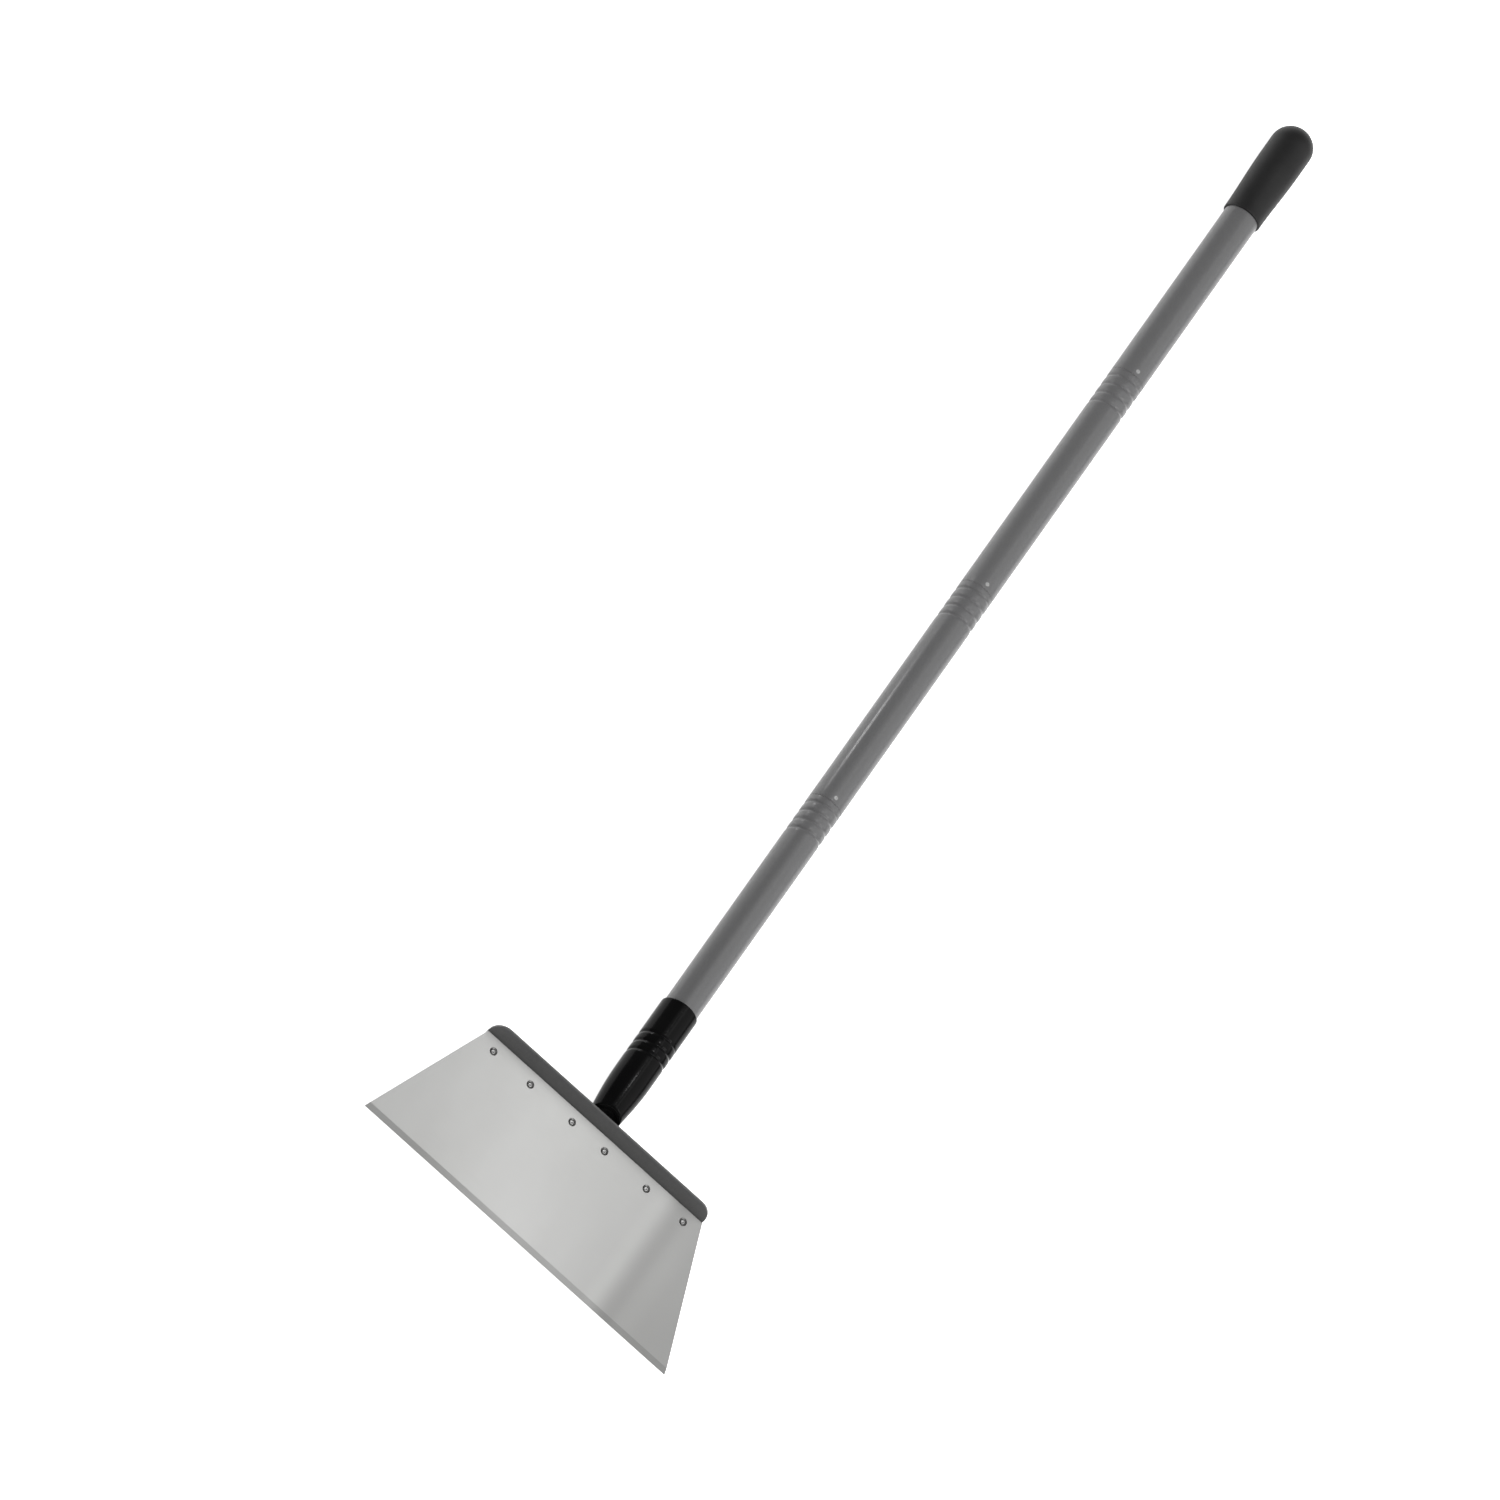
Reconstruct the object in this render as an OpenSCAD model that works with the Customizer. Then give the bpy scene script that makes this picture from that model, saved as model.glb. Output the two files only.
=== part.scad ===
// Algae scraper: a wide steel blade on a pole that screws together from four sections.
// Stations along X are counted from the cutting edge, and heights from the pole's axis.

/* [Blade] */
// Width of the cutting edge
edge_width = 305; // [280:1:330]
// Width of the blade's upper edge
top_width = 218; // [200:1:240]
// Height of the blade from the cutting edge to its upper edge
blade_height = 115; // [105:1:125]
// Thickness of the blade
blade_thickness = 1.5; // [1.2:0.1:2]
// Width of the bevel ground along the cutting edge
bevel_width = 4.8; // [3:0.1:7]
// Thickness left at the cutting edge
edge_land = 0.3; // [0.2:0.1:0.6]
// Depth of the blade's front face below the pole's axis
face_drop = 5.3; // [4:0.1:5.8]

/* [Bracket] */
// Length of the flange above the blade's front face
flange_length = 12.5; // [12:0.5:14]
// Lean of the flange back towards the pole, in degrees from upright
flange_lean = 24; // [20:1:28]
// Radius of the flange's two upper corners
flange_corner = 12; // [8:0.5:12]
// Length of the bracket's leg behind the blade
leg_length = 24; // [20:1:30]
// Thickness of the bracket and socket plates
plate_thickness = 2; // [1.8:0.1:2.2]

/* [Rivets] */
// Distance of the rivet row from the blade's upper edge
rivet_inset = 10; // [8:0.5:12]
// Distance of the two centre rivets from the middle
centre_rivet_y = 16.5; // [14:0.5:18]
// Distance of the next rivets from the middle
middle_rivet_y = 59; // [50:1:70]
// Distance of the end rivets from the middle
end_rivet_y = 96.5; // [85:0.5:98]
// Radius of the rivet shank
rivet_radius = 2; // [1.5:0.1:2.2]

/* [Socket] */
// Station of the socket's rim
socket_rim_x = 231.5; // [228:0.5:240]
// Depth of the first section's seat below the socket's rim
mouth_depth = 10.5; // [8:0.5:14]
// Wall of the socket around its mouth
socket_wall = 1.6; // [1.5:0.1:2.5]

/* [Pole] */
// Outside diameter of the pole
pole_diameter = 28; // [26:0.5:30]
// Wall thickness of the pole tubes
pole_wall = 1; // [0.8:0.1:1.2]
// Length of each pole section from seat to seat
section_length = 219.5; // [200:0.5:240]

/* [Threads] */
// Pitch of the rolled threads
thread_pitch = 8.7; // [8:0.1:9]
// Number of thread turns at each joint
thread_turns = 4; // [3:1:4]
// Distance from the seat to the first turn
first_turn = 7; // [6:0.5:8]
// Radial clearance between the male and female threads
thread_clearance = 0.3; // [0.3:0.05:0.5]

/* [Cap] */
// Length of the pole held inside the cap
cap_grip = 51.5; // [40:0.5:70]
// Distance from the pole's end to the tip of the cap's dome
cap_nose = 38; // [34:0.5:45]
// Thickness of the cap around the pole at its widest
cap_flare = 3; // [2.5:0.1:4]

/* [Hidden] */
$fn = 96;
eps = 0.01;

pole_radius = pole_diameter / 2;
pole_bore = pole_radius - pole_wall;
section_count = 4;
first_seat = socket_rim_x - mouth_depth;
cap_radius = pole_radius + cap_flare;
cap_mouth = seat(section_count + 1) - cap_grip;
cap_tip = seat(section_count + 1) + cap_nose;

// The blade and the plates behind it, as heights from the pole's axis
face_z = -face_drop;
blade_back_z = face_z - blade_thickness;
leg_back_z = blade_back_z - plate_thickness;
plate_back_z = leg_back_z - plate_thickness;
leg_x = blade_height - leg_length;
rivet_x = blade_height - rivet_inset;

// The bend beside the blade's upper edge: the leaning plates are measured from its centre
bend_radius = 0.6;
bend_x = blade_height;
bend_z = blade_back_z + bend_radius;
flange_back = bend_radius + plate_thickness;
plate_back = flange_back + plate_thickness;
face_run = (face_z - bend_z + bend_radius * sin(flange_lean)) / cos(flange_lean);
flange_top = in_hundredths(flange_length + face_run);

// The plate that carries the socket, folded sharp behind the bracket
plate_half_width = 25;
plate_drop = 1.6;
plate_top = flange_top - plate_drop;
plate_corner = 5;
axis_run = (plate_back * sin(flange_lean) - bend_z) / cos(flange_lean);
spigot_margin = 0.25;
spigot_radius = in_hundredths((plate_top - axis_run) * cos(flange_lean) - spigot_margin);
spigot_end_x = 153;
spigot_root = 0.8;
press_gap = 0.02;

// Rivet heads, sunk into the blade, and tails behind the plates
head_radius = 3.2;
head_depth = 1.1;
head_sink = 0.3;
dimple_radius = 1.3;
tail_radius = 3.4;
tail_height = 1;
shank_gap = 0.05;

// The socket
socket_radius = pole_radius + socket_wall;
socket_taper = 3.7;
socket_foot_x = 113;
socket_knee_x = 164;
socket_rim_round = 1.4;
outside_turns = 3;
inside_turns = thread_turns + 1;
mouth_gap = 0.05;
bore_end_x = 160;

// Rolled threads: grooves outside, and the ribs they raise inside
groove_depth = 0.7;
groove_wire = 2.4;
rib_wire = 1;
rib_height = 1;
rib_radius = pole_bore - rib_height;

// Plugs: a spigot fixed in a tube, and a threaded nose that points to the head
washer_thickness = 0.6;
crest_radius = rib_radius - thread_clearance;
crest_height = 1.3;
crest_count = thread_turns + 1;
nose_core = crest_radius - crest_height;
nose_lead = 2.5;
nose_length = first_turn + (thread_turns - 0.5) * thread_pitch + nose_lead;
nose_tip = 1.5;
plug_spigot = 24;
plug_bore = 7;
pin_radius = 1.6;
pin_offset = 4.8;
pin_gap = 0.02;

// The cap
cap_mouth_wall = 1.5;
cap_mouth_radius = pole_radius + cap_mouth_wall;
cap_lip = 0.8;
cap_taper = 55;
cap_floor = 2;
cap_skin = 4.5;

function seat(n) = first_seat + (n - 1) * section_length;
function in_hundredths(length) = round(length * 100) / 100;

// The station of a leaning plane, depth behind the bend's centre, at a height
function station(depth, z) = bend_x + (depth + (z - bend_z) * sin(flange_lean)) / cos(flange_lean);

// The [station, height] of a point in the leaning frame
function on_plate(depth, run) = [
    bend_x + depth * cos(flange_lean) + run * sin(flange_lean),
    bend_z - depth * sin(flange_lean) + run * cos(flange_lean)
];

// Moves a shape drawn from the cutting edge and the axis into the part's own frame
module placed() {
    translate([-cap_tip / 2, 0, cap_radius]) children();
}

// Turns an outline of [radius, station] points about the pole's axis
module turned() {
    rotate([0, 90, 0]) rotate_extrude() children();
}

// A round bar along the pole's axis
module bar(x1, x2, r) {
    translate([x1, 0, 0]) rotate([0, 90, 0]) cylinder(h = x2 - x1, r = r);
}

// A ring of round section about the pole's axis
module ring(x, centre_radius, wire) {
    translate([x, 0, 0]) rotate([0, 90, 0]) rotate_extrude()
        translate([centre_radius, 0]) circle(r = wire, $fn = 32);
}

// A profile of [station, height] points carried across the blade's width
module across(width) {
    rotate([90, 0, 0]) linear_extrude(height = width, center = true) children();
}

// An outline of [side, height] points carried along the pole
module lengthwise(x1, x2) {
    translate([x1, 0, 0]) rotate([90, 0, 90]) linear_extrude(height = x2 - x1) children();
}

// A rectangle whose two upper corners are round
module arched(half_width, low, high, corner) {
    intersection() {
        translate([-half_width, low]) square([2 * half_width, high - low]);
        union() {
            translate([-half_width, low]) square([2 * half_width, high - corner - low]);
            translate([corner - half_width, low]) square([2 * (half_width - corner), high - low]);
            for (side = [-1, 1])
                translate([side * (half_width - corner), high - corner]) circle(r = corner);
        }
    }
}

// A leaning frame about the bend's centre: +X crosses the plates to the back, and +Z runs up them
module leaning() {
    translate([bend_x, 0, bend_z]) rotate([0, flange_lean, 0]) children();
}

// Everything that lies in front of a plane at a distance behind the bend's centre
module front_of(depth) {
    block = 80;
    leaning() translate([depth - block, -block, -block]) cube([block, 2 * block, 2 * block]);
}

// The bracket's flat leg and bend, as a profile of [station, height] points
module leg_and_bend() {
    reach = 2 * flange_back;
    translate([leg_x, leg_back_z]) square([bend_x - leg_x, plate_thickness]);
    translate([bend_x, bend_z]) intersection() {
        difference() {
            circle(r = flange_back);
            circle(r = bend_radius);
        }
        polygon([[0, 0], [0, -reach], [reach, -reach], [reach, -reach * tan(flange_lean)]]);
    }
}

module rivet_holes(ys, radius) {
    for (y = ys)
        translate([rivet_x, y, plate_back_z - eps])
            cylinder(h = face_z - plate_back_z + 2 * eps, r = radius);
}

outer_ys = [-end_rivet_y, -middle_rivet_y, middle_rivet_y, end_rivet_y];
centre_ys = [-centre_rivet_y, centre_rivet_y];

module blade() {
    color("gainsboro") placed() difference() {
        intersection() {
            across(edge_width) polygon([
                [0, blade_back_z], [0, blade_back_z + edge_land], [bevel_width, face_z],
                [blade_height, face_z], [blade_height, blade_back_z]
            ]);
            translate([0, 0, blade_back_z - 1]) linear_extrude(height = blade_thickness + 2) polygon([
                [0, -edge_width / 2], [blade_height, -top_width / 2],
                [blade_height, top_width / 2], [0, edge_width / 2]
            ]);
        }
        rivet_holes(concat(outer_ys, centre_ys), rivet_radius + shank_gap);
        for (y = concat(outer_ys, centre_ys))
            translate([rivet_x, y, face_z - head_depth])
                cylinder(h = head_depth + eps, r1 = rivet_radius + shank_gap, r2 = head_radius + eps);
    }
}

module head_bracket() {
    color("dimgray") placed() {
        difference() {
            across(top_width) leg_and_bend();
            rivet_holes(concat(outer_ys, centre_ys), rivet_radius + shank_gap);
        }
        leaning() lengthwise(bend_radius, flange_back)
            arched(top_width / 2, 0, flange_top, flange_corner);
    }
}

// Cuts the two upper corners off the socket's plate
module plate_corners() {
    over = 1;
    side = plate_half_width;
    leaning() lengthwise(flange_back - over, plate_back + over)
        for (way = [-1, 1])
            polygon([
                [way * (side - plate_corner - over), plate_top + over],
                [way * (side + over), plate_top + over],
                [way * (side + over), plate_top - plate_corner - over]
            ]);
}

module socket_plate() {
    color("dimgray") placed() {
        difference() {
            across(2 * plate_half_width) polygon([
                [leg_x, plate_back_z], [station(plate_back, plate_back_z), plate_back_z],
                on_plate(plate_back, plate_top), on_plate(flange_back, plate_top),
                [station(flange_back, leg_back_z), leg_back_z], [leg_x, leg_back_z]
            ]);
            rivet_holes(centre_ys, rivet_radius + shank_gap);
            plate_corners();
        }
        difference() {
            bar(bend_x, spigot_end_x, spigot_radius);
            front_of(plate_back - spigot_root);
        }
    }
}

// One sunk rivet: a dimpled head in the blade, a shank, and a tail under low_z
module rivet(low_z) {
    top = face_z - head_sink;
    cone_low = face_z - head_depth;
    rotate_extrude() difference() {
        polygon([
            [0, low_z - tail_height], [tail_radius, low_z - tail_height], [tail_radius, low_z],
            [rivet_radius, low_z], [rivet_radius, cone_low],
            [head_radius - head_sink - shank_gap, top], [0, top]
        ]);
        translate([0, top]) circle(r = dimple_radius, $fn = 32);
    }
}

module outer_rivets() {
    color("silver") placed() for (y = outer_ys) translate([rivet_x, y, 0]) rivet(leg_back_z);
}

module centre_rivets() {
    color("silver") placed() for (y = centre_ys) translate([rivet_x, y, 0]) rivet(plate_back_z);
}

// Grooves outside a rolled thread whose first turn is at x
module thread_grooves(x, turns, outer) {
    for (i = [0 : turns - 1])
        ring(x - i * thread_pitch, outer - groove_depth + groove_wire, groove_wire);
}

// Ribs inside a rolled thread whose first turn is at x
module thread_ribs(x, turns) {
    for (i = [0 : turns - 1])
        ring(x - i * thread_pitch, rib_radius + rib_wire, rib_wire);
}

module socket() {
    body_end = socket_rim_x - socket_rim_round;
    mouth = pole_radius + mouth_gap;
    top_rib = first_seat - first_turn;
    top_groove = top_rib - (inside_turns - outside_turns) * thread_pitch;
    color([0.06, 0.06, 0.06]) placed() {
        difference() {
            union() {
                turned() polygon([
                    [0, socket_foot_x], [socket_radius - socket_taper, socket_foot_x],
                    [socket_radius, socket_knee_x],
                    [socket_radius, body_end], [socket_radius - socket_rim_round, socket_rim_x],
                    [0, socket_rim_x]
                ]);
                ring(body_end, socket_radius - socket_rim_round, socket_rim_round);
            }
            thread_grooves(top_groove, outside_turns, socket_radius);
            front_of(plate_back);
            bar(socket_foot_x - 1, bore_end_x + 1, spigot_radius + press_gap);
            bar(bore_end_x, first_seat + eps, pole_bore);
            bar(first_seat, socket_rim_x + 1, mouth);
        }
        intersection() {
            thread_ribs(top_rib, inside_turns);
            bar(bore_end_x, first_seat, pole_bore + eps);
        }
    }
}

// The tube of one section: its lower end seats at seat(n), and its upper end is threaded
module pole_tube(n) {
    low = seat(n) + washer_thickness;
    high = seat(n + 1);
    threaded = n < section_count;
    color("gray") placed() {
        difference() {
            bar(low, high, pole_radius);
            bar(low - 1, high + 1, pole_bore);
            if (threaded)
                thread_grooves(high - first_turn, thread_turns, pole_radius);
            translate([seat(n) + pin_offset, 0, -pole_radius - 1])
                cylinder(h = 2 * pole_radius + 2, r = pin_radius + pin_gap);
        }
        if (threaded) intersection() {
            thread_ribs(high - first_turn, thread_turns);
            bar(low, high, pole_bore + eps);
        }
    }
}

// The plug of one section: a spigot in the tube, a shoulder, and the threaded nose
module plug(n) {
    low = seat(n) - nose_length;
    high = seat(n) + washer_thickness + plug_spigot;
    color([0.15, 0.15, 0.15]) placed() difference() {
        union() {
            turned() polygon([
                [0, low], [nose_core - nose_tip, low], [nose_core, low + nose_tip],
                [nose_core, seat(n) + washer_thickness], [pole_bore, seat(n) + washer_thickness],
                [pole_bore, high], [0, high]
            ]);
            for (i = [0 : crest_count - 1])
                ring(seat(n) - first_turn - (i - 0.5) * thread_pitch, crest_radius - rib_wire, rib_wire);
        }
        bar(low - 1, high + 1, plug_bore);
        translate([seat(n) + pin_offset, 0, -pole_radius])
            cylinder(h = 2 * pole_radius, r = pin_radius + pin_gap);
    }
}

// The pin that holds one plug in its tube, flush with the tube at both ends
module pin(n) {
    color("silver") placed() intersection() {
        translate([seat(n) + pin_offset, 0, -pole_radius]) cylinder(h = 2 * pole_radius, r = pin_radius);
        bar(seat(n), seat(n) + 2 * pin_offset, pole_radius);
    }
}

// The washer between one section and the piece below it
module washer(n) {
    color([0.15, 0.15, 0.15]) placed() difference() {
        bar(seat(n), seat(n) + washer_thickness, pole_radius);
        bar(seat(n) - 1, seat(n) + washer_thickness + 1, rib_radius);
    }
}

module end_cap() {
    inner_end = seat(section_count + 1);
    dome_x = cap_tip - cap_radius;
    void_radius = cap_radius - cap_skin;
    color([0.12, 0.12, 0.12]) placed() difference() {
        union() {
            turned() polygon([
                [0, cap_mouth], [cap_mouth_radius - cap_lip, cap_mouth],
                [cap_mouth_radius, cap_mouth + cap_lip], [cap_radius, cap_mouth + cap_taper],
                [cap_radius, dome_x], [0, dome_x]
            ]);
            translate([dome_x, 0, 0]) sphere(r = cap_radius);
        }
        bar(cap_mouth - 1, inner_end, pole_radius);
        bar(inner_end - eps, inner_end + cap_floor + eps, plug_bore);
        bar(inner_end + cap_floor, dome_x, void_radius);
        translate([dome_x, 0, 0]) sphere(r = void_radius);
    }
}

blade();
head_bracket();
socket_plate();
outer_rivets();
centre_rivets();
socket();
for (n = [1 : section_count]) {
    pole_tube(n);
    plug(n);
    pin(n);
    washer(n);
}
end_cap();
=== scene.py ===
import math

import bmesh
import bpy
from mathutils import Matrix, Vector


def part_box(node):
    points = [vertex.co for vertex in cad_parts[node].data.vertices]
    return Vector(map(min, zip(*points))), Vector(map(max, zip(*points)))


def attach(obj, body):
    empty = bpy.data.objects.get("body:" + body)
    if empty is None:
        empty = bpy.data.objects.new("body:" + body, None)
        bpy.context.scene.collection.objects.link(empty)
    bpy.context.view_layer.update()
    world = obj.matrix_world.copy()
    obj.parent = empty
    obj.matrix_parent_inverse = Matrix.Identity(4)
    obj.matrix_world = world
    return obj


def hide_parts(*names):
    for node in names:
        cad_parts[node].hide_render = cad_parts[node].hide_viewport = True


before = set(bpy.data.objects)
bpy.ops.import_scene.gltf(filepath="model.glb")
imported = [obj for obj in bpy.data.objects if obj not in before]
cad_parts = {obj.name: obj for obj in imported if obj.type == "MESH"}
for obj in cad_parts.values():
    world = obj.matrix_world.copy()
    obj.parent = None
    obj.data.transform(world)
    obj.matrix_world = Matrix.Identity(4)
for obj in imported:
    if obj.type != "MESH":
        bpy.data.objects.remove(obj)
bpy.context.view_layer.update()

MM = 0.001

# Painted reflection: light and dark streaks across the blade's right part, standing in for softbox
# reflections in the brushed steel: where they lie, then how far along that stretch, and half the tone
PAINTED_REFLECTION_STRETCH = (-120 * MM, -40 * MM)
PAINTED_REFLECTION_STREAKS = [
    (0.0, 0.46), (0.15, 0.48), (0.26, 0.46), (0.34, 0.40),
    (0.44, 0.42), (0.56, 0.58), (0.70, 0.49), (1.0, 0.50),
]
# Painted shade on the ground edge: how far from the blade's lowest edge it lasts and where it has faded out
BEVEL_SHADE_START = 4.6 * MM
BEVEL_SHADE_END = 4.9 * MM

# The view: the pole tilts away from the viewer, leans right in the picture, and is turned about its own axis
POLE_TILT = math.radians(27.7)
POLE_LEAN = math.radians(35.35)
POLE_TURN = math.radians(14.2)
VIEW_BACK = 110.7 * MM
VIEW_ASIDE = 69.2 * MM
VIEW_WIDTH = 1112.6 * MM
SENSOR_WIDTH = 36.0
LENS = 1650.0

# Sizes that the frame's boxes don't give
PITCH = 8.7 * MM
FIRST_TURN = 7 * MM
TURNS = 4
SOCKET_OUTSIDE_TURNS = 3
SOCKET_INSIDE_TURNS = 5
POLE_RADIUS = 14 * MM
POLE_BORE = 13 * MM
RIB_RADIUS = 12 * MM
CREST_RADIUS = 11.7 * MM
NOSE_CORE = 10.4 * MM
PLUG_BORE = 7 * MM
SEGMENTS = 144
RIVET_SEGMENTS = 40
RIVET_RADIUS = 3.4 * MM
FLANGE_LEAN = math.radians(24)
MIDDLE_RIVET = 59 * MM

POLE = Vector((1, 0, 0))


def middle(node, axis):
    """The middle of a node's box along one axis."""
    return sum(corner[axis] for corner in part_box(node)) / 2


AXIS_Z = middle("pole_section_1", 2)


# ---------------------------------------------------------------- meshes

def new_object(name, verts, faces):
    mesh = bpy.data.meshes.new(name)
    mesh.from_pydata(verts, [], faces)
    mesh.update()
    mesh.shade_smooth()
    obj = bpy.data.objects.new(name, mesh)
    bpy.context.scene.collection.objects.link(obj)
    return obj


def revolve(name, rows, radius=None, segments=SEGMENTS):
    """Turn a closed loop of (x, r, side) rows about the pole's axis; radius() may modulate each point."""
    verts = []
    for x, r, side in rows:
        for i in range(segments):
            a = 2 * math.pi * i / segments
            rr = radius(x, a, r, side) if radius else r
            verts.append((x, rr * math.cos(a), AXIS_Z + rr * math.sin(a)))
    faces = []
    count = len(rows)
    for j in range(count):
        k = (j + 1) % count
        for i in range(segments):
            n = (i + 1) % segments
            faces.append((j * segments + i, j * segments + n, k * segments + n, k * segments + i))
    return new_object(name, verts, faces)


def wall(x1, x2, r1, r2, side, steps):
    """Rows along a straight or tapered wall."""
    return [(x1 + (x2 - x1) * t / steps, r1 + (r2 - r1) * t / steps, side) for t in range(steps + 1)]


def arc(cx, cr, radius, start, stop, side, steps=5):
    """Rows around a fillet, with angles measured from +x towards larger radius."""
    rows = []
    for t in range(steps + 1):
        a = math.radians(start + (stop - start) * t / steps)
        rows.append((cx + radius * math.cos(a), cr + radius * math.sin(a), side))
    return rows


def smooth_step(t):
    t = min(1, max(0, t))
    return t * t * (3 - 2 * t)


def helix_distance(x, a, start):
    """Distance along the axis to the nearest turn of a right-hand helix that passes start at angle 0."""
    d = (x - start - PITCH * a / (2 * math.pi)) % PITCH
    return min(d, PITCH - d)


def thread_weight(x, low, high, fade):
    return smooth_step((x - low) / fade) * smooth_step((high - x) / fade)


# ---------------------------------------------------------------- materials

def material(name):
    mat = bpy.data.materials.new(name)
    mat.use_nodes = True
    nodes = mat.node_tree.nodes
    return mat, nodes, mat.node_tree.links, nodes["Principled BSDF"]


def noise(nodes, links, scale, detail, stretch=(1, 1, 1)):
    coord = nodes.new("ShaderNodeTexCoord")
    mapping = nodes.new("ShaderNodeMapping")
    mapping.inputs["Scale"].default_value = stretch
    tex = nodes.new("ShaderNodeTexNoise")
    tex.inputs["Scale"].default_value = scale
    tex.inputs["Detail"].default_value = detail
    links.new(coord.outputs["Object"], mapping.inputs["Vector"])
    links.new(mapping.outputs["Vector"], tex.inputs["Vector"])
    return tex.outputs["Fac"]


def spread(nodes, links, source, low, high, at=(0.3, 0.7)):
    node = nodes.new("ShaderNodeMapRange")
    node.inputs["From Min"].default_value = at[0]
    node.inputs["From Max"].default_value = at[1]
    node.inputs["To Min"].default_value = low
    node.inputs["To Max"].default_value = high
    links.new(source, node.inputs["Value"])
    return node.outputs["Result"]


def tint(nodes, links, source, dark, light):
    ramp = nodes.new("ShaderNodeValToRGB")
    ramp.color_ramp.elements[0].position = 0.3
    ramp.color_ramp.elements[1].position = 0.7
    ramp.color_ramp.elements[0].color = (*dark, 1)
    ramp.color_ramp.elements[1].color = (*light, 1)
    links.new(source, ramp.inputs["Fac"])
    return ramp.outputs["Color"]


def bump(nodes, links, shader, sources, strength, distance):
    """Add the sources' heights and feed them to the shader's normal."""
    total = sources[0]
    for extra in sources[1:]:
        add = nodes.new("ShaderNodeMath")
        add.operation = "ADD"
        links.new(total, add.inputs[0])
        links.new(extra, add.inputs[1])
        total = add.outputs[0]
    node = nodes.new("ShaderNodeBump")
    node.inputs["Strength"].default_value = strength
    node.inputs["Distance"].default_value = distance
    links.new(total, node.inputs["Height"])
    links.new(node.outputs["Normal"], shader.inputs["Normal"])


def multiply(nodes, links, one, two):
    node = nodes.new("ShaderNodeMath")
    node.operation = "MULTIPLY"
    links.new(one, node.inputs[0])
    links.new(two, node.inputs[1])
    return node.outputs[0]


def blade_places(nodes, links):
    """How far along the scraping edge, and how far up from it, as two values in metres."""
    coord = nodes.new("ShaderNodeTexCoord")
    split = nodes.new("ShaderNodeSeparateXYZ")
    links.new(coord.outputs["Object"], split.inputs["Vector"])
    return split.outputs["Y"], split.outputs["X"]


def painted_reflection_streaks(nodes, links, across):
    """Painted reflection: a light and a dark streak across the steel, near the blade's right end."""
    place = spread(nodes, links, across, 0.0, 1.0, PAINTED_REFLECTION_STRETCH)
    ramp = nodes.new("ShaderNodeValToRGB")
    ramp.color_ramp.interpolation = "B_SPLINE"
    for at, _ in PAINTED_REFLECTION_STREAKS[1:-1]:
        ramp.color_ramp.elements.new(at)
    for element, (at, tone) in zip(ramp.color_ramp.elements, PAINTED_REFLECTION_STREAKS):
        element.position = at
        element.color = (tone, tone, tone, 1)
    links.new(place, ramp.inputs["Fac"])
    double = nodes.new("ShaderNodeMath")
    double.operation = "MULTIPLY"
    double.inputs[1].default_value = 2.0
    links.new(ramp.outputs["Color"], double.inputs[0])
    return double.outputs[0]


def painted_bevel_shade(nodes, links, along):
    """Painted shade: darker where the scraping edge is ground, standing in for the bevel facet's tilt."""
    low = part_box("blade")[0][0]
    return spread(nodes, links, along, 0.80, 1.0, (low + BEVEL_SHADE_START, low + BEVEL_SHADE_END))


def blade_steel():
    mat, nodes, links, shader = material("blade_steel")
    grain = noise(nodes, links, 60, 8, (40, 0.8, 40))
    cloud = noise(nodes, links, 7, 3, (0.6, 1.6, 1))
    base = tint(nodes, links, cloud, (0.325, 0.325, 0.318), (0.370, 0.370, 0.365))
    across_blade, along_blade = blade_places(nodes, links)
    # The base colour carries a painted reflection (light and dark streaks) and the ground bevel's painted
    # shade
    painted_reflection = painted_reflection_streaks(nodes, links, across_blade)
    shade = multiply(nodes, links, painted_reflection, painted_bevel_shade(nodes, links, along_blade))
    toned = nodes.new("ShaderNodeVectorMath")
    toned.operation = "SCALE"
    links.new(base, toned.inputs["Vector"])
    links.new(shade, toned.inputs["Scale"])
    links.new(toned.outputs["Vector"], shader.inputs["Base Color"])
    links.new(spread(nodes, links, grain, 0.29, 0.33), shader.inputs["Roughness"])
    shader.inputs["Metallic"].default_value = 1.0
    shader.inputs["Anisotropic"].default_value = 0.8
    across = nodes.new("ShaderNodeCombineXYZ")
    across.inputs["X"].default_value = 1.0
    turned = nodes.new("ShaderNodeVectorTransform")
    turned.vector_type = "VECTOR"
    turned.convert_from = "OBJECT"
    turned.convert_to = "WORLD"
    links.new(across.outputs["Vector"], turned.inputs["Vector"])
    links.new(turned.outputs["Vector"], shader.inputs["Tangent"])
    bump(nodes, links, shader, [grain], 0.03, 0.00005)
    return mat


def rivet_steel():
    mat, nodes, links, shader = material("rivet_steel")
    fine = noise(nodes, links, 900, 4)
    links.new(tint(nodes, links, fine, (0.30, 0.30, 0.30), (0.40, 0.40, 0.395)), shader.inputs["Base Color"])
    links.new(spread(nodes, links, fine, 0.28, 0.45), shader.inputs["Roughness"])
    shader.inputs["Metallic"].default_value = 1.0
    bump(nodes, links, shader, [fine], 0.15, 0.00005)
    return mat


def paint(name, dark, light, rough, coat):
    mat, nodes, links, shader = material(name)
    peel = noise(nodes, links, 260, 3)
    fine = noise(nodes, links, 1400, 5)
    links.new(tint(nodes, links, fine, dark, light), shader.inputs["Base Color"])
    links.new(spread(nodes, links, peel, rough - 0.04, rough + 0.05), shader.inputs["Roughness"])
    shader.inputs["Coat Weight"].default_value = coat
    shader.inputs["Coat Roughness"].default_value = 0.16
    shader.inputs["Specular IOR Level"].default_value = 0.25
    bump(nodes, links, shader, [peel, fine], 0.05, 0.0001)
    return mat


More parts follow.
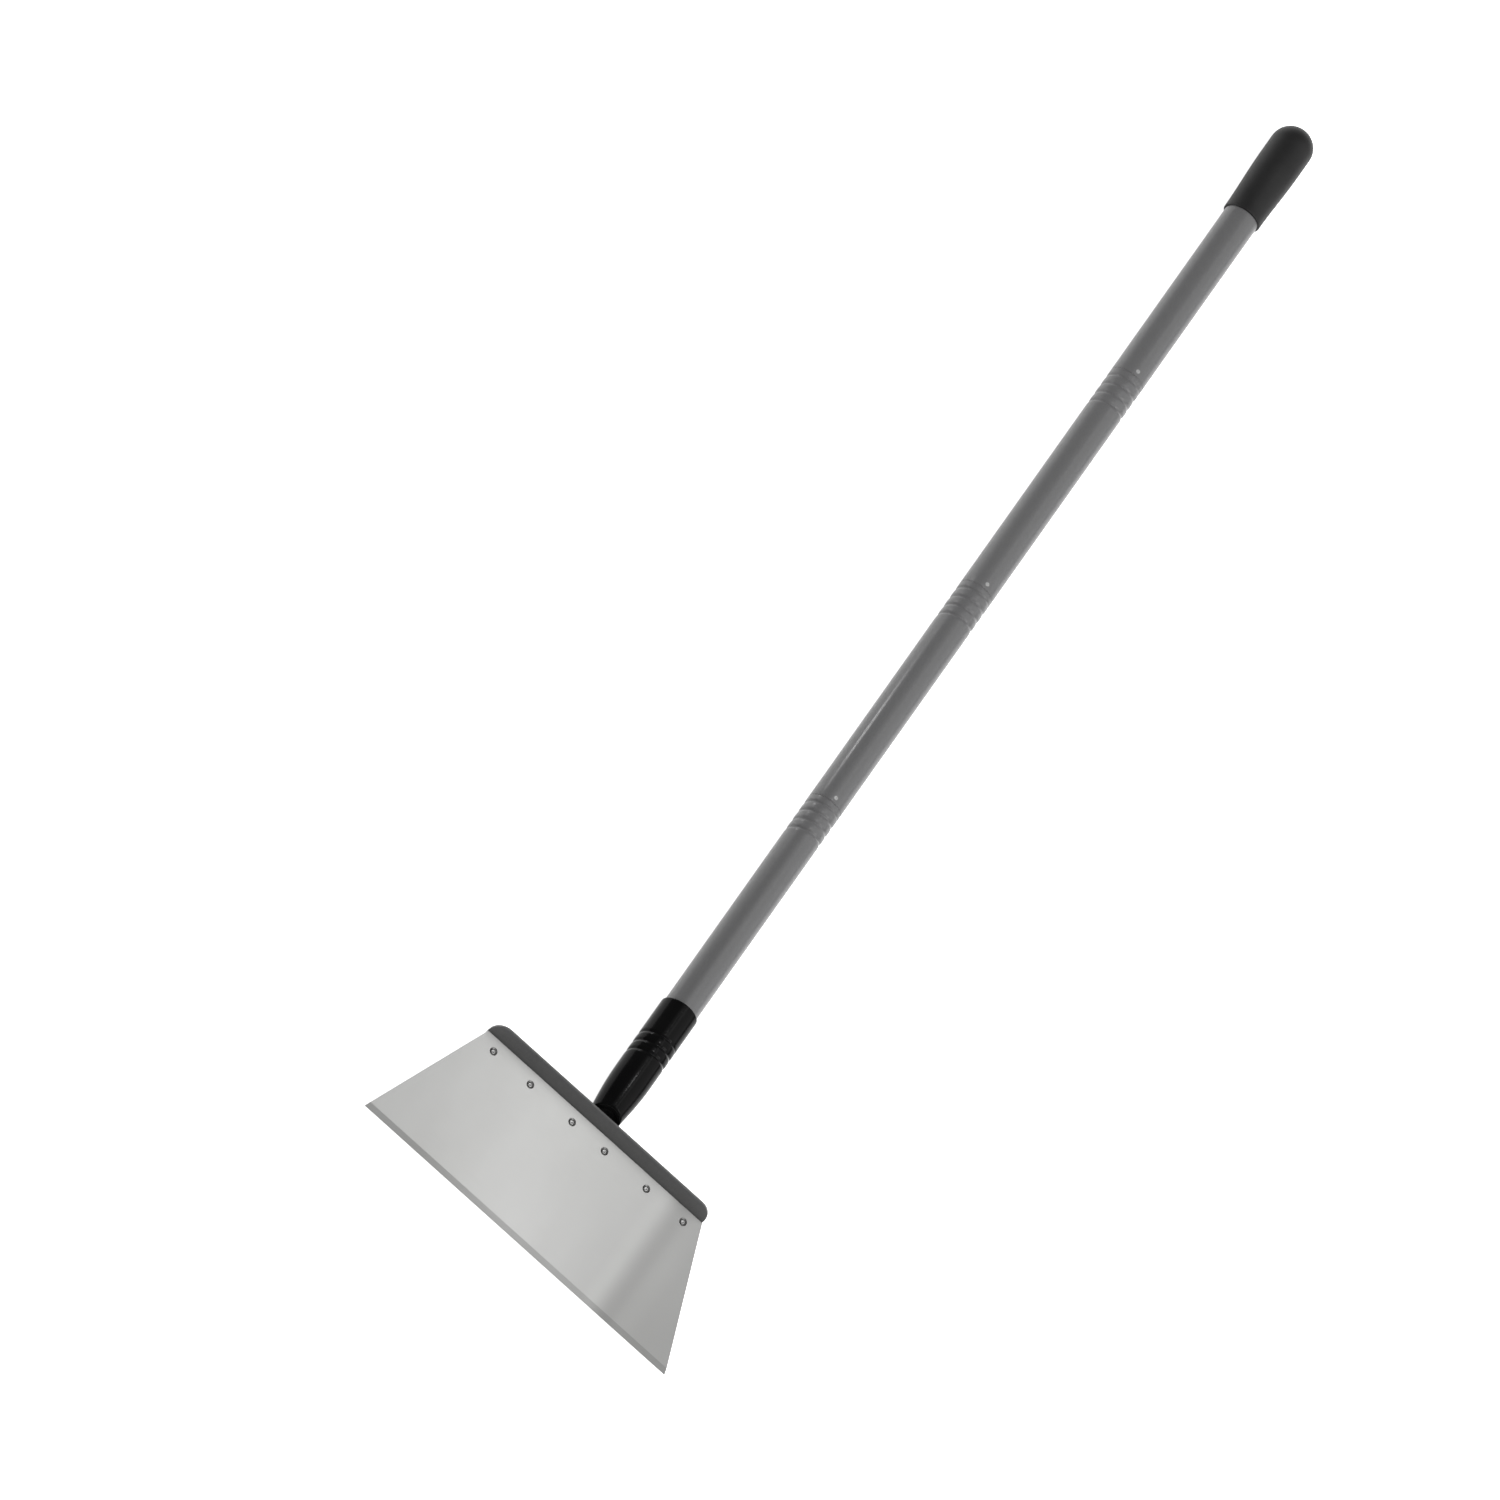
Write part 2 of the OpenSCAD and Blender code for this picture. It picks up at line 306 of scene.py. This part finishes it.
def moulded(name, dark, light, rough, level, grain, strength):
    mat, nodes, links, shader = material(name)
    fine = noise(nodes, links, grain, 6)
    broad = noise(nodes, links, 40, 3)
    links.new(tint(nodes, links, broad, dark, light), shader.inputs["Base Color"])
    links.new(spread(nodes, links, fine, rough - 0.05, rough + 0.06), shader.inputs["Roughness"])
    shader.inputs["Specular IOR Level"].default_value = level
    bump(nodes, links, shader, [fine], strength, 0.0001)
    return mat


MATERIALS = {
    "blade_steel": blade_steel(),
    "rivet_steel": rivet_steel(),
    "bracket_paint": paint("bracket_paint", (0.122, 0.122, 0.123), (0.158, 0.158, 0.156), 0.48, 0.0),
    "pole_paint": paint("pole_paint", (0.128, 0.128, 0.131), (0.149, 0.149, 0.149), 0.36, 0.2),
    "socket_black": moulded(
        "socket_black", (0.002, 0.002, 0.0022), (0.004, 0.004, 0.004), 0.16, 0.08, 700, 0.05),
    # Near-black painted shade for the rivet recesses, where the walls would be in shadow
    "painted_recess_shade": paint("painted_recess_shade", (0.006, 0.006, 0.006), (0.014, 0.014, 0.014), 0.6, 0.0),
    "plug_black": moulded("plug_black", (0.010, 0.010, 0.010), (0.018, 0.018, 0.018), 0.42, 0.4, 1200, 0.12),
    "cap_rubber": moulded("cap_rubber", (0.012, 0.012, 0.0122), (0.018, 0.018, 0.018), 0.50, 0.22, 1500, 0.2),
}


def finish_piece(obj, slot, body, *nodes):
    obj.data.materials.append(MATERIALS[slot])
    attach(obj, body)
    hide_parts(*nodes)


def dress(node, slot):
    """Give a CAD node that stays its material."""
    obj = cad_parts[node]
    if not obj.material_slots:
        obj.data.materials.append(MATERIALS[slot])
    for s in obj.material_slots:
        s.link = "OBJECT"
        s.material = MATERIALS[slot]
    return obj


def soften(obj, width, angle=35):
    mod = obj.modifiers.new("soft_edges", "BEVEL")
    mod.width = width
    mod.segments = 2
    mod.limit_method = "ANGLE"
    mod.angle_limit = math.radians(angle)


# ---------------------------------------------------------------- the pole

def threaded_radius(start, low, high):
    """A groove outside and the rib it raises inside, both on one right-hand helix."""
    def radius(x, a, r, side):
        near = helix_distance(x, a, start)
        weight = thread_weight(x, low, high, 2.5 * MM)
        if side == "out":
            return r - weight * 0.85 * MM * math.exp(-(near / (1.35 * MM)) ** 2)
        if side == "in":
            return r - weight * 1.0 * MM * math.exp(-(near / (1.1 * MM)) ** 2)
        return r
    return radius


def pole_section(n):
    low, high = (c[0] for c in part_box(f"pole_section_{n}"))
    rim = 0.35 * MM
    threaded = n < 4
    thread_low = high - FIRST_TURN - (TURNS - 0.5) * PITCH
    split = thread_low - 3 * MM
    fine = 96
    rows = arc(low + rim, POLE_RADIUS - rim, rim, 180, 90, "edge")
    rows += wall(low + rim, split, POLE_RADIUS, POLE_RADIUS, "out", 24)[1:]
    rows += wall(split, high - rim, POLE_RADIUS, POLE_RADIUS, "out", fine if threaded else 6)[1:]
    rows += arc(high - rim, POLE_RADIUS - rim, rim, 90, 0, "edge")[1:]
    rows += arc(high - rim, POLE_BORE + rim, rim, 0, -90, "edge")
    rows += wall(high - rim, split, POLE_BORE, POLE_BORE, "in", fine if threaded else 6)[1:]
    rows += wall(split, low + rim, POLE_BORE, POLE_BORE, "in", 8)[1:]
    rows += arc(low + rim, POLE_BORE + rim, rim, -90, -180, "edge")[1:]
    shape = threaded_radius(high - FIRST_TURN, thread_low, high - 3 * MM) if threaded else None
    obj = revolve(f"section_tube_{n}", rows, shape)
    finish_piece(obj, "pole_paint", f"section_{n}", f"pole_section_{n}")


def thread_plug(n):
    low, high = (c[0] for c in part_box(f"thread_plug_{n}"))
    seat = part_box(f"joint_washer_{n}")[0][0]
    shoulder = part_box(f"joint_washer_{n}")[1][0]
    tip = 1.5 * MM
    start = seat - FIRST_TURN + PITCH / 2

    def radius(x, a, r, side):
        if side != "thread":
            return r
        near = helix_distance(x, a, start)
        weight = thread_weight(x, low + tip, seat - 0.5 * MM, 3 * MM)
        return r + weight * (CREST_RADIUS - NOSE_CORE) * math.exp(-(near / (1.25 * MM)) ** 4)

    rows = [(low, PLUG_BORE, "edge")]
    rows += [(low, NOSE_CORE - tip, "edge")]
    rows += wall(low + tip, seat, NOSE_CORE, NOSE_CORE, "thread", 110)
    rows += [(shoulder, NOSE_CORE, "edge"), (shoulder, POLE_BORE, "edge"), (high, POLE_BORE, "edge")]
    rows += [(high, PLUG_BORE, "edge")]
    obj = revolve(f"threaded_plug_{n}", rows, radius, 96)
    finish_piece(obj, "plug_black", f"section_{n}", f"thread_plug_{n}")
    soften(obj, 0.25 * MM, 50)


def washer(n):
    low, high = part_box(f"joint_washer_{n}")
    r = (high[1] - low[1]) / 2
    edge = 0.2 * MM
    rows = arc(low[0] + edge, r - edge, edge, 180, 90, "edge", 3)
    rows += arc(high[0] - edge, r - edge, edge, 90, 0, "edge", 3)
    rows += arc(high[0] - edge, RIB_RADIUS + edge, edge, 0, -90, "edge", 3)
    rows += arc(low[0] + edge, RIB_RADIUS + edge, edge, -90, -180, "edge", 3)
    obj = revolve(f"seat_washer_{n}", rows, None, 96)
    finish_piece(obj, "plug_black", f"washer_{n}", f"joint_washer_{n}")
    obj.data.materials[0] = MATERIALS["pole_paint"]


# ---------------------------------------------------------------- the socket and the cap

def socket():
    """The moulded socket, whose foot is cut to lie on the leaning plate."""
    low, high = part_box("socket")
    x1 = high[0]
    outer = (high[1] - low[1]) / 2
    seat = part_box("joint_washer_1")[0][0]
    knee = x1 - 67.5 * MM
    x0 = x1 - 108.7 * MM
    foot = outer - 3.0 * MM
    rim = 1.2 * MM
    mouth = POLE_RADIUS + 0.05 * MM
    shelf = x1 - 71.5 * MM
    spigot = 2.82 * MM
    inside_start = seat - FIRST_TURN
    outside_start = inside_start - (SOCKET_INSIDE_TURNS - SOCKET_OUTSIDE_TURNS) * PITCH
    outside_low = outside_start - (SOCKET_OUTSIDE_TURNS - 0.5) * PITCH
    inside_low = inside_start - (SOCKET_INSIDE_TURNS - 0.5) * PITCH

    def radius(x, a, r, side):
        if side == "out":
            near = helix_distance(x, a, outside_start)
            weight = thread_weight(x, outside_low, outside_start + PITCH / 2, 2.5 * MM)
            return r - weight * 0.7 * MM * math.exp(-(near / (1.35 * MM)) ** 2)
        if side == "in":
            near = helix_distance(x, a, inside_start)
            weight = thread_weight(x, inside_low, seat - 2 * MM, 2.5 * MM)
            return r - weight * 1.0 * MM * math.exp(-(near / (0.9 * MM)) ** 2)
        return r

    rows = arc(x0 + rim, foot - rim, rim, 180, 90, "edge")
    for t in range(1, 25):
        f = t / 24
        swell = math.sin(f * math.pi / 2)
        rows.append((x0 + rim + (knee - x0 - rim) * f, foot + (outer - foot) * swell, "out"))
    rows += wall(knee, x1 - rim, outer, outer, "out", 130)[1:]
    rows += arc(x1 - rim, outer - rim, rim, 90, 0, "edge", 8)[1:]
    rows += [(x1, mouth + 0.15 * MM, "edge"), (x1 - 0.2 * MM, mouth, "edge"), (seat, mouth, "edge")]
    rows += [(seat, POLE_BORE, "edge")]
    rows += wall(seat - 0.5 * MM, shelf, POLE_BORE, POLE_BORE, "in", 110)
    rows += [(shelf - 0.2 * MM, spigot, "edge"), (x0, spigot, "edge")]
    obj = revolve("socket_body", rows, radius)
    for v in obj.data.vertices:
        if v.co.x < knee:
            plane = x0 + (v.co.z - AXIS_Z) * math.tan(FLANGE_LEAN)
            v.co.x = knee - (knee - v.co.x) * (knee - plane) / (knee - x0)
    finish_piece(obj, "socket_black", "head", "socket")


def end_cap():
    low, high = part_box("end_cap")
    mouth, tip = low[0], high[0]
    wide = (high[1] - low[1]) / 2
    narrow = wide - 1.5 * MM
    lip = 0.8 * MM
    dome = tip - wide
    flare = 55 * MM
    tube_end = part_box("pole_section_4")[1][0]
    floor = 2 * MM
    hollow = wide - 4.5 * MM
    rows = arc(mouth + lip, narrow - lip, lip, 180, 90, "edge")
    for t in range(1, 33):
        f = t / 32
        rows.append((mouth + lip + (flare - lip) * f, narrow + (wide - narrow) * smooth_step(f), "out"))
    rows += wall(mouth + flare, dome, wide, wide, "out", 6)[1:]
    rows += arc(dome, 0, wide, 90, 1.5, "out", 40)[1:]
    rows += arc(dome, 0, hollow, 1.5, 90, "in", 20)
    rows += [(tube_end + floor, hollow, "in"), (tube_end + floor, PLUG_BORE, "edge")]
    rows += [(tube_end, PLUG_BORE, "edge"), (tube_end, POLE_RADIUS, "edge"), (mouth, POLE_RADIUS, "edge")]
    obj = revolve("pole_cap", rows)
    finish_piece(obj, "cap_rubber", "section_4", "end_cap")


# ---------------------------------------------------------------- the head

def lathe(bm, cx, cy, rows, segments=RIVET_SEGMENTS):
    """Turn an open (r, z) outline from axis to axis about a vertical line; return its faces."""
    rings = []
    for r, z in rows:
        if r == 0:
            rings.append([bm.verts.new((cx, cy, z))])
        else:
            turn = [2 * math.pi * i / segments for i in range(segments)]
            rings.append([bm.verts.new((cx + r * math.cos(a), cy + r * math.sin(a), z)) for a in turn])
    faces = []
    for one, two in zip(rings, rings[1:]):
        for i in range(segments):
            k = (i + 1) % segments
            loop = [one[i % len(one)], one[k % len(one)], two[k % len(two)], two[i % len(two)]]
            faces.append(bm.faces.new(list(dict.fromkeys(loop))))
    return faces


def rivets(node, name, ys):
    """Sunk rivets: dimpled head, recess coloured near-black as painted shade, shank and domed tail; rows are
    radius and height in mm.
    """
    cx = middle(node, 0)
    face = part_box("blade")[1][2]
    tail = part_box(node)[0][2]
    head_rows = [
        (0, -0.62), (0.4, -0.58), (0.75, -0.40), (1.05, -0.24),
        (1.35, -0.22), (1.6, -0.34), (1.75, -0.62), (1.8, -1.05),
    ]
    recess_rows = [(1.8, -1.05), (2.3, -0.9), (2.8, -0.45), (3.15, -0.01)]
    shank = [(3.1, -0.18), (2.0, -1.16)]
    bm = bmesh.new()
    for cy in ys:
        top = [(r * MM, face + z * MM) for r, z in head_rows + recess_rows[1:] + shank]
        back = [(2.0 * MM, tail + 1.0 * MM), (3.35 * MM, tail + 0.98 * MM), (3.4 * MM, tail + 0.8 * MM)]
        back += [(3.0 * MM, tail + 0.3 * MM), (2.0 * MM, tail + 0.06 * MM), (0, tail)]
        faces = lathe(bm, cx, cy, top + back)
        first = len(head_rows) - 1
        # The recess faces take the near-black painted shade material
        dark = range(first * RIVET_SEGMENTS, (first + len(recess_rows) - 1) * RIVET_SEGMENTS)
        for i in dark:
            faces[i].material_index = 1
    bmesh.ops.recalc_face_normals(bm, faces=bm.faces)
    mesh = bpy.data.meshes.new(name)
    bm.to_mesh(mesh)
    bm.free()
    mesh.shade_smooth()
    obj = bpy.data.objects.new(name, mesh)
    bpy.context.scene.collection.objects.link(obj)
    finish_piece(obj, "rivet_steel", "head", node)
    obj.data.materials.append(MATERIALS["painted_recess_shade"])


def plates():
    soften(dress("blade", "blade_steel"), 0.12 * MM)
    soften(dress("head_bracket", "bracket_paint"), 0.5 * MM)
    soften(dress("socket_plate", "bracket_paint"), 0.4 * MM)
    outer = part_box("outer_rivets")[1][1] - RIVET_RADIUS
    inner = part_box("centre_rivets")[1][1] - RIVET_RADIUS
    rivets("outer_rivets", "outer_rivet_heads", [-outer, -MIDDLE_RIVET, MIDDLE_RIVET, outer])
    rivets("centre_rivets", "centre_rivet_heads", [-inner, inner])
    for n in range(1, 5):
        dress(f"plug_pin_{n}", "rivet_steel")


# ---------------------------------------------------------------- view, floor and light

def picture_axes():
    back = Vector((
        -math.sin(POLE_TILT),
        math.cos(POLE_TILT) * math.sin(POLE_TURN),
        math.cos(POLE_TILT) * math.cos(POLE_TURN),
    ))
    along = (POLE - POLE.dot(back) * back).normalized()
    aside = back.cross(along)
    right = math.sin(POLE_LEAN) * along - math.cos(POLE_LEAN) * aside
    up = math.cos(POLE_LEAN) * along + math.sin(POLE_LEAN) * aside
    return right, up, back, along, aside


def camera():
    right, up, back, along, aside = picture_axes()
    data = bpy.data.cameras.new("camera")
    data.sensor_width = SENSOR_WIDTH
    data.lens = LENS
    distance = LENS * VIEW_WIDTH / SENSOR_WIDTH
    target = Vector((0, 0, AXIS_Z)) - VIEW_BACK * along + VIEW_ASIDE * aside
    turn = Matrix((right, up, back)).transposed().to_4x4()
    obj = bpy.data.objects.new("camera", data)
    obj.matrix_world = Matrix.Translation(target + distance * back) @ turn
    data.clip_end = 4 * distance
    bpy.context.scene.collection.objects.link(obj)
    bpy.context.scene.camera = obj


def floor():
    size = 14.0
    corners = [(-size, -size, 0), (size, -size, 0), (size, size, 0), (-size, size, 0)]
    obj = new_object("floor", corners, [(0, 1, 2, 3)])
    mat, nodes, links, shader = material("floor_white")
    shader.inputs["Base Color"].default_value = (0.92, 0.92, 0.92, 1)
    shader.inputs["Roughness"].default_value = 0.9
    shader.inputs["Specular IOR Level"].default_value = 0.1
    shader.inputs["Emission Color"].default_value = (1, 1, 1, 1)
    shader.inputs["Emission Strength"].default_value = 0.95
    obj.data.materials.append(mat)


def area_light(name, direction, distance, size, power, centre=Vector((0, 0, 0))):
    """A rectangle of light that faces centre from a direction; size is across and along the pole."""
    facing = direction.normalized()
    up = (POLE - POLE.dot(facing) * facing).normalized()
    side = up.cross(facing)
    data = bpy.data.lights.new(name, "AREA")
    data.shape = "RECTANGLE"
    data.size, data.size_y = size
    data.energy = power
    obj = bpy.data.objects.new(name, data)
    turn = Matrix((side, up, facing)).transposed().to_4x4()
    obj.matrix_world = Matrix.Translation(centre + facing * distance) @ turn
    bpy.context.scene.collection.objects.link(obj)


def lights():
    back = picture_axes()[2]
    front = (back - back.dot(POLE) * POLE).normalized()
    rightward = POLE.cross(front)

    def around(degrees):
        a = math.radians(degrees)
        return math.cos(a) * front + math.sin(a) * rightward

    def leaning(degrees, lean):
        return math.cos(lean) * around(degrees) + math.sin(lean) * POLE

    socket_middle = Vector((middle("socket", 0), 0, AXIS_Z))
    blade_middle = Vector((middle("blade", 0), 0.03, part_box("blade")[1][2]))
    streak_middle = Vector((-65 * MM, 0, AXIS_Z))
    bounce = Vector((-back.x, -back.y, back.z))
    upward = Vector((0, 0, 1))
    lean = math.radians(20)
    area_light("right_softbox", around(61.5), 2.2, (2.3, 5.0), 40)
    area_light("blade_strip", bounce, 1.3, (0.2, 1.8), 1.95, blade_middle)
    area_light("top_panel", upward, 3.0, (2.0, 3.0), 9)
    area_light("small_lamp", leaning(12, lean), 3.0, (0.25, 0.5), 8, socket_middle)
    area_light("thread_lamp", leaning(54, -lean / 2), 2.5, (1.0, 0.25), 9)
    area_light("streak_lamp", leaning(-64, POLE_TILT), 0.8, (0.16, 0.05), 0.9, streak_middle)
    world = bpy.data.worlds.new("studio")
    world.use_nodes = True
    world.node_tree.nodes["Background"].inputs["Color"].default_value = (1, 1, 1, 1)
    world.node_tree.nodes["Background"].inputs["Strength"].default_value = 0.25
    bpy.context.scene.world = world
    bpy.context.scene.view_settings.view_transform = "Standard"


camera()
floor()
lights()
for number in range(1, 5):
    pole_section(number)
    thread_plug(number)
    washer(number)
socket()
end_cap()
plates()
